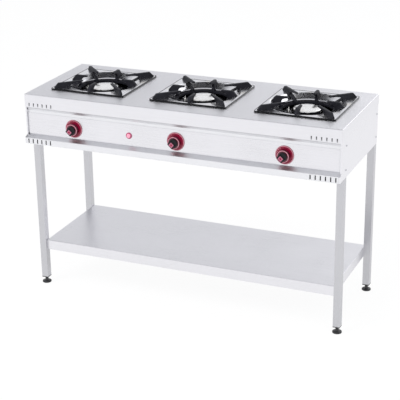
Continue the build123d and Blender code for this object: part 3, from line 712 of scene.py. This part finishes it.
@dataclass
class CadDressing:
    """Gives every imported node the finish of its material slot."""

    finishes: dict[str, bpy.types.Material] = field(default_factory=dict)
    cap_colour: Colour = (0.96, 0.955, 0.94)
    bowl_colour: Colour = (0.80, 0.80, 0.83)
    bowl_rings: float = 300.0
    well_height: float = 0.0255

    def build(self) -> None:
        """Make the finishes and put them on the nodes."""
        self.make_finishes()
        for part in frame["record"]["subparts"]:
            node = frame["nodes"][part["node"]]
            material = self.material_for(part["node"], part["material_slot"])
            node.data.materials.clear()
            node.data.materials.append(material)

    def make_finishes(self) -> None:
        """Build one material for each finish that several nodes share."""
        shared = [
            BrushedSteel("stainless_top", (0.80, 0.795, 0.82), Grain.ALONG_X, 0.36),
            BrushedSteel("stainless_panel", (0.78, 0.775, 0.80), Grain.ALONG_X, 0.30),
            BrushedSteel("stainless_plate", (0.74, 0.735, 0.76), Grain.ALONG_X, 0.28, contrast=0.09),
            # The recess sheet is painted dark above 0.836 m: painted shade under the fascia.
            BrushedSteel("stainless_recess", (0.82, 0.82, 0.84), Grain.ALONG_X, 0.40, painted_shade_above=0.836),
            BrushedSteel("stainless_stand", (0.58, 0.58, 0.60), Grain.ALONG_Z, 0.38),
            BrushedSteel("stainless_shelf", (0.78, 0.775, 0.80), Grain.ALONG_X, 0.30),
            MachinedMetal("zinc_steel", (0.55, 0.56, 0.58), 0.4),
            Enamel("black_enamel"),
            CastIron("cast_iron"),
            MachinedMetal("brass", (0.72, 0.55, 0.25), stain=(0.35, 0.22, 0.08), stain_share=0.4),
            MachinedMetal("spindle_steel", (0.72, 0.72, 0.74), 0.2),
            MouldedPlastic("dial_red", (0.19, 0.003, 0.024), 0.2, coat=0.15, shine=0.3),
            MouldedPlastic("knob_black", (0.004, 0.004, 0.006), 0.3, coat=0.0, shine=0.25),
            MouldedPlastic("knob_wine", (0.06, 0.004, 0.014), 0.24, coat=0.3),
            # Pale pink painted highlight for the front of the knob skirt's lip.
            MouldedPlastic("knob_rim_highlight", (0.55, 0.22, 0.28), 0.2),
            # Pink used for the printed marks and for the painted highlight ring on the dial's edge.
            MouldedPlastic("dial_print_and_edge_highlight", (0.58, 0.27, 0.33), 0.4, coat=0.1),
            MouldedPlastic("knob_pink", (0.36, 0.09, 0.155), 0.22),
            MouldedPlastic("button_pink", (0.72, 0.28, 0.38), 0.24),
            MouldedPlastic("bezel_red", (0.36, 0.05, 0.12), 0.25),
            Ceramic("ceramic_white"),
            MachinedMetal("pipe_steel", (0.55, 0.56, 0.58), 0.42),
            MouldedPlastic("black_plastic", (0.02, 0.02, 0.022), 0.5, coat=0.0, skin=0.0001),
            MouldedPlastic("foot_black", (0.022, 0.022, 0.024), 0.42, coat=0.1, skin=0.0001),
        ]
        for finish in shared:
            self.finishes[finish.name] = finish.build()

    def material_for(self, node: str, slot: str) -> bpy.types.Material:
        """Finish of one node.

        Args:
            node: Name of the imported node.
            slot: Its material slot in the record.

        Returns:
            The material, centred on the burner where it has turned rings.
        """
        if node in OWN_FINISH:
            return self.finishes[OWN_FINISH[node]]
        if slot in ("stainless_bowl", "polished_cap"):
            low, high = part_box(node)
            centre = tuple((low + high) / 2)
            if slot == "polished_cap":
                return TurnedSteel(f"polished_cap_{node}", centre, self.cap_colour).build()
            # Painted shade in the well: the bowl darkens below well_height above its lowest point.
            return TurnedSteel(f"stainless_bowl_{node}", centre, self.bowl_colour, self.bowl_rings,
                               well_shade_below=low.z + self.well_height).build()
        return self.finishes[slot]


class Shaper:
    """Modelling steps shared by the fine pieces, made with Blender's own mesh tools."""

    WELD = 0.00001
    TURNED_CREASE = math.radians(35)
    BAR_CREASE = math.radians(40)

    @staticmethod
    def turned(name: str, profile: list[tuple[float, float]], sides: int = 64,
               hollow: bool = False) -> bpy.types.Object:
        """Turn a closed solid about Z by extruding a disc or a ring along a profile.

        Args:
            name: Name of the piece.
            profile: Pairs of radius and height, in millimetres, none of them on the axis.
            sides: Number of sides round the axis.
            hollow: Whether the profile closes on itself and leaves the middle open.

        Returns:
            The piece, at the origin.
        """
        bpy.ops.object.select_all(action="DESELECT")
        radius, level = (value / MM for value in profile[0])
        fill = "NOTHING" if hollow else "NGON"
        bpy.ops.mesh.primitive_circle_add(vertices=sides, radius=radius, fill_type=fill,
                                          location=(0, 0, level))
        piece = bpy.context.object
        piece.name = name
        bpy.ops.object.transform_apply(location=True)
        bpy.ops.object.mode_set(mode="EDIT")
        bpy.ops.mesh.select_all(action="SELECT")
        for (near, low), (far, high) in zip(profile, profile[1:] + profile[:1] * hollow):
            bpy.ops.mesh.extrude_region_move(TRANSFORM_OT_translate={"value": (0, 0, (high - low) / MM)})
            bpy.ops.transform.resize(value=(far / near, far / near, 1), center_override=(0, 0, high / MM))
        bpy.ops.mesh.select_all(action="SELECT")
        if hollow:
            bpy.ops.mesh.remove_doubles(threshold=Shaper.WELD)
        bpy.ops.mesh.normals_make_consistent(inside=False)
        bpy.ops.object.mode_set(mode="OBJECT")
        bpy.ops.object.shade_smooth_by_angle(angle=Shaper.TURNED_CREASE)
        return piece

    @staticmethod
    def bar(name: str, size: Triple, edge: float) -> bpy.types.Object:
        """Rounded bar with its base in the XY plane.

        Args:
            name: Name of the piece.
            size: Length, width and height in millimetres.
            edge: Width of the rounding in millimetres.

        Returns:
            The piece, at the origin.
        """
        bpy.ops.object.select_all(action="DESELECT")
        bpy.ops.mesh.primitive_cube_add(size=1 / MM)
        piece = bpy.context.object
        piece.name = name
        bpy.ops.object.mode_set(mode="EDIT")
        bpy.ops.mesh.select_all(action="SELECT")
        bpy.ops.transform.translate(value=(0, 0, 0.5 / MM))
        bpy.ops.transform.resize(value=size, center_override=(0, 0, 0))
        bpy.ops.mesh.bevel(offset=edge / MM, segments=3, affect="EDGES")
        bpy.ops.object.mode_set(mode="OBJECT")
        bpy.ops.object.shade_smooth_by_angle(angle=Shaper.BAR_CREASE)
        return piece

    @staticmethod
    def placed(piece: bpy.types.Object, places: Iterable[Matrix]) -> bpy.types.Object:
        """Copy a piece to several places and join the copies into one object.

        Args:
            piece: The piece at the origin, which becomes part of the result.
            places: One matrix for each copy, in metres.

        Returns:
            The joined object.
        """
        copies = []
        for place in places:
            copy = piece.copy()
            copy.data = piece.data.copy()
            copy.data.transform(place)
            bpy.context.scene.collection.objects.link(copy)
            copies.append(copy)
        name = piece.name
        bpy.data.objects.remove(piece)
        bpy.ops.object.select_all(action="DESELECT")
        for copy in copies:
            copy.select_set(True)
        bpy.context.view_layer.objects.active = copies[0]
        if len(copies) > 1:
            bpy.ops.object.join()
        copies[0].name = name
        return copies[0]


def facing(point: Iterable[float], turn: float, axis: str) -> Matrix:
    """Place in metres for a piece drawn along Z and turned about one axis by an angle in degrees."""
    return Matrix.Translation(Vector(point)) @ Matrix.Rotation(math.radians(turn), 4, axis)


@dataclass
class Piece:
    """One finished fine piece: its material, body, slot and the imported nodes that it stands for."""

    shape: bpy.types.Object
    materials: list[bpy.types.Material]
    body: str
    slot: str
    nodes: tuple[str, ...] = ()

    def finish(self) -> None:
        """Put the materials on, tie the piece to its body and report it."""
        for material in self.materials:
            self.shape.data.materials.append(material)
        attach(self.shape, self.body)
        if self.nodes:
            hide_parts(*self.nodes)
        LOG.info("made %s on %s", self.shape.name, self.body)


@dataclass
class SmoothSkin:
    """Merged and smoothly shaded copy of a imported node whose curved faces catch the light."""

    node: str
    crease: float = 18.0
    weld: float = 0.000002

    def build(self) -> None:
        """Copy the node, merge its triangles, shade it and put it in the node's place."""
        source = frame["nodes"][self.node]
        skin = source.copy()
        skin.data = source.data.copy()
        skin.name = f"smooth_{self.node}"
        bpy.context.scene.collection.objects.link(skin)
        bpy.ops.object.select_all(action="DESELECT")
        bpy.context.view_layer.objects.active = skin
        skin.select_set(True)
        bpy.ops.object.parent_clear(type="CLEAR_KEEP_TRANSFORM")
        bpy.ops.object.transform_apply(location=True, rotation=True, scale=True)
        bpy.ops.object.mode_set(mode="EDIT")
        bpy.ops.mesh.select_all(action="SELECT")
        bpy.ops.mesh.remove_doubles(threshold=self.weld)
        bpy.ops.object.mode_set(mode="OBJECT")
        bpy.ops.object.shade_smooth_by_angle(angle=math.radians(self.crease))
        record = frame["record"]
        slot = next(part["material_slot"] for part in record["subparts"] if part["node"] == self.node)
        body = next(name for name, nodes in record["behaviour"]["bodies"].items() if self.node in nodes)
        Piece(skin, [], body, slot, (self.node,)).finish()


@dataclass
class KnobDetail:
    """Turned skirt with a raised lip in a pale pink painted highlight, red spot on the pointer, printed marks
    on the dial, and a pale ring along the dial's edge as a painted highlight.

    Sizes are in millimetres and angles in degrees.
    """

    side: str
    finishes: dict[str, bpy.types.Material]
    steps: int = 96
    wall: float = 3.0
    recess: float = 6.0
    bore_radius: float = 7.0
    boss_radius: float = 17.2
    dish_radius: float = 17.6
    # Ring on the skirt's front that takes the pale pink painted highlight.
    rim_highlight_inner: float = 22.2
    rim_highlight_outer: float = 24.9
    rim_highlight_depth: float = 1.3
    spot_size: Triple = (8.0, 8.0, 0.6)
    spot_edge: float = 0.25
    spot_sunk: float = 0.4
    spot_turn: float = 43.0
    mark_size: Triple = (4.6, 1.5, 0.2)
    mark_edge: float = 0.06
    mark_angles: tuple[float, ...] = (265.0, 280.0, 295.0, 310.0, 325.0)
    mark_radius: float = 32.0
    ring_radii: tuple[float, float] = (37.9, 35.9)
    ring_height: float = 0.2
    print_sunk: float = 0.1

    def build(self) -> None:
        """Build the four pieces of one knob and its dial."""
        self.skirt()
        self.spot()
        self.marks()
        self.ring()

    def skirt(self) -> None:
        """Turned skirt: hollow back, straight wall, raised lip and a dished front, with a pale pink painted
        highlight on the lip's front.
        """
        low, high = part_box(f"knob_skirt_{self.side}")
        middle = (low + high) / 2
        length = (high.y - low.y) * MM
        radius = (high.x - low.x) * MM / 2
        inside = radius - self.wall
        # Closed outline as radius and height: hollow back, wall, lip, dish, boss and bore.
        profile = [(inside, self.recess), (inside, 0), (radius - 0.6, 0), (radius, 0.6),
                   (radius, length - 2.4), (radius - 0.2, length - 1.2), (radius - 0.8, length - 0.3),
                   (radius - 1.4, length),
                   (radius - 2.1, length), (radius - 2.7, length - 0.4), (radius - 3.1, length - 1.4),
                   (self.dish_radius, length - 1.5), (self.boss_radius, length),
                   (self.bore_radius, length), (self.bore_radius, self.recess)]
        shape = Shaper.turned(f"skirt_{self.side}", profile, self.steps, hollow=True)
        # Painted highlight: faces on the front of the lip take the pale pink second material.
        for face in shape.data.polygons:
            reach = math.hypot(face.center.x, face.center.y) * MM
            if self.rim_highlight_inner < reach < self.rim_highlight_outer and face.center.z * MM > length - self.rim_highlight_depth:
                face.material_index = 1
        shape.data.transform(facing((middle.x, high.y, middle.z), 90, "X"))
        Piece(shape, [self.finishes["knob_wine"], self.finishes["knob_rim_highlight"]], f"knob_{self.side}_body",
              "knob_wine", (f"knob_skirt_{self.side}",)).finish()

    def spot(self) -> None:
        """Small dark-red inlay in the middle of the pointer."""
        low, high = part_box(f"knob_pointer_{self.side}")
        middle = (low + high) / 2
        shape = Shaper.bar(f"pointer_spot_{self.side}", self.spot_size, self.spot_edge)
        seat = facing((middle.x, low.y + self.spot_sunk / MM, middle.z), 90, "X")
        shape.data.transform(seat @ Matrix.Rotation(math.radians(self.spot_turn), 4, "Z"))
        Piece(shape, [self.finishes["dial_red"]], f"knob_{self.side}_body", "dial_red").finish()

    def dial_face(self) -> Matrix:
        """Find the place on the dial's front for what is printed there.

        Returns:
            The matrix of the place, in metres.
        """
        low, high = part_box(f"dial_{self.side}")
        middle = (low + high) / 2
        return facing((middle.x, low.y + self.print_sunk / MM, middle.z), 90, "X")

    def marks(self) -> None:
        """Row of short printed marks near the dial's edge."""
        mark = Shaper.bar(f"dial_marks_{self.side}", self.mark_size, self.mark_edge)
        out = Matrix.Translation((self.mark_radius / MM, 0, 0))
        turns = [Matrix.Rotation(math.radians(90 - angle), 4, "Z") for angle in self.mark_angles]
        face = self.dial_face()
        shape = Shaper.placed(mark, [face @ turn @ out for turn in turns])
        Piece(shape, [self.finishes["dial_print_and_edge_highlight"]], ROOT, "knob_pink").finish()

    def ring(self) -> None:
        """Thin pale pink ring round the dial's edge, a painted highlight along the rim."""
        outer, inner = self.ring_radii
        profile = [(inner, 0), (inner, self.ring_height), (outer, self.ring_height), (outer, 0)]
        # Painted highlight: a pale ring along the dial's edge.
        shape = Shaper.turned(f"dial_ring_{self.side}", profile, self.steps, hollow=True)
        shape.data.transform(self.dial_face())
        Piece(shape, [self.finishes["dial_print_and_edge_highlight"]], ROOT, "knob_pink").finish()


@dataclass
class FootDetail:
    """Levelling foot with a grooved pad, a flared neck and a plain stem, in millimetres."""

    corner: str
    finish: bpy.types.Material
    pad_radius: float = 20.0
    neck_radius: float = 7.0
    neck_top: float = 26.7
    stem_radius: float = 5.0

    def build(self) -> None:
        """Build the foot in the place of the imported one."""
        node = f"foot_{self.corner}"
        low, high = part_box(node)
        middle = (low + high) / 2
        top = high.z * MM
        pad, neck, stem = self.pad_radius, self.neck_radius, self.stem_radius
        # Outline as radius and height, from the floor up: pad with its groove, flare, neck and stem.
        profile = [(pad - 0.8, 0), (pad, 0.8), (pad, 2.6), (pad - 0.6, 2.9), (pad - 0.6, 3.4), (pad, 3.7),
                   (pad, 5.0), (pad - 0.7, 6.0), (pad - 2.2, 6.8), (neck + 3.5, 7.2), (neck + 1.4, 8.2),
                   (neck + 0.3, 10.0), (neck, 12.0), (neck, self.neck_top - 0.6), (neck - 0.6, self.neck_top),
                   (stem, self.neck_top), (stem, top - 0.8), (stem - 0.8, top)]
        shape = Shaper.turned(f"turned_foot_{self.corner}", profile)
        shape.data.transform(Matrix.Translation((middle.x, middle.y, 0)))
        Piece(shape, [self.finish], f"{node}_body", "foot_black", (node,)).finish()


@dataclass
class ScrewDetail:
    """Domed screws with a cross recess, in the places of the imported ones.

    Places are in metres, and the sizes of a screw in millimetres.
    """

    finish: bpy.types.Material
    head_radius: float = 4.0
    head_height: float = 2.2
    steps: int = 32
    slot_size: Triple = (3.6, 0.8, 2.0)
    slot_edge: float = 0.1
    slot_floor: float = 1.2
    body_side: float = 0.7012
    back: float = 0.25475
    leg_x: float = 0.6847
    leg_rows: tuple[float, float] = (-0.20285, 0.23805)
    side_levels: tuple[float, float] = (0.817, 0.716)
    back_levels: tuple[float, float] = (0.830, 0.750)
    shelf_level: float = 0.1866
    shelf_seat: float = 0.009

    def build(self) -> None:
        """Build the set on the panels and the set in the shelf."""
        panel = []
        for side in (-1, 1):
            for y in self.leg_rows:
                panel += [facing((side * self.body_side, y, z), 90 * side, "Y") for z in self.side_levels]
            panel += [facing((side * self.leg_x, self.back, z), -90, "X") for z in self.back_levels]
        shape = Shaper.placed(self.screw("panel_screw_set"), panel)
        Piece(shape, [self.finish], ROOT, "zinc_steel", ("panel_screws",)).finish()
        low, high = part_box("shelf_screws")
        rows = (low.y + self.head_radius / MM, high.y - self.head_radius / MM)
        seat, level = low.x + self.shelf_seat, self.shelf_level
        shelf = [facing((side * -seat, y, level), -90 * side, "Y") for side in (-1, 1) for y in rows]
        shape = Shaper.placed(self.screw("shelf_screw_set"), shelf)
        Piece(shape, [self.finish], ROOT, "zinc_steel", ("shelf_screws",)).finish()

    def screw(self, name: str) -> bpy.types.Object:
        """Model one screw along Z, head up, with its seat at the origin.

        Args:
            name: Name of the screw.

        Returns:
            The screw.
        """
        top = self.head_height
        # Outline as radius and height: shank, seat, rim and dome.
        profile = [(1.9, -9), (2.0, 0), (self.head_radius, 0), (self.head_radius, 0.5), (3.8, 1.1),
                   (3.3, 1.7), (2.5, top - 0.1), (1.2, top)]
        shape = Shaper.turned(name, profile, self.steps)
        floor = Matrix.Translation((0, 0, self.slot_floor / MM))
        for turn in (0, 90):
            blade = Shaper.bar("blade", self.slot_size, self.slot_edge)
            blade.data.transform(floor @ Matrix.Rotation(math.radians(turn), 4, "Z"))
            cut = shape.modifiers.new("recess", "BOOLEAN")
            cut.object, cut.operation, cut.solver = blade, "DIFFERENCE", "EXACT"
            bpy.ops.object.select_all(action="DESELECT")
            bpy.context.view_layer.objects.active = shape
            shape.select_set(True)
            bpy.ops.object.modifier_apply(modifier="recess")
            bpy.data.objects.remove(blade)
        return shape


@dataclass
class HemDetail:
    """Narrow hem folded back along the inner edge of each side sheet's front flange.

    Places are in metres, depth, thickness and rounding in millimetres.
    """

    finish: bpy.types.Material
    edge_x: float = 0.6952
    front: float = -0.2621
    low: float = 0.7265
    high: float = 0.8300
    depth: float = 6.3
    thick: float = 1.4
    rounding: float = 0.2

    def build(self) -> None:
        """Build one hem and set a copy on each side."""
        size = (self.thick, self.depth, (self.high - self.low) * MM)
        hem = Shaper.bar("flange_hems", size, self.rounding)
        middle = self.front + self.depth / 2 / MM
        reach = self.edge_x + self.thick / 2 / MM
        places = [Matrix.Translation((side * reach, middle, self.low)) for side in (-1, 1)]
        Piece(Shaper.placed(hem, places), [self.finish], ROOT, "stainless_panel").finish()


def main() -> None:
    """Build the scene in order and report each piece."""
    logging.basicConfig(level=logging.INFO, format="%(message)s")
    Viewpoint().build()
    Studio().build()
    dressing = CadDressing()
    dressing.build()
    for node in SMOOTHED:
        SmoothSkin(node).build()
    for side in SIDES:
        KnobDetail(side, dressing.finishes).build()
    for corner in CORNERS:
        FootDetail(corner, dressing.finishes["foot_black"]).build()
    ScrewDetail(dressing.finishes["zinc_steel"]).build()
    HemDetail(dressing.finishes["stainless_panel"]).build()


if __name__ == "__main__":
    main()
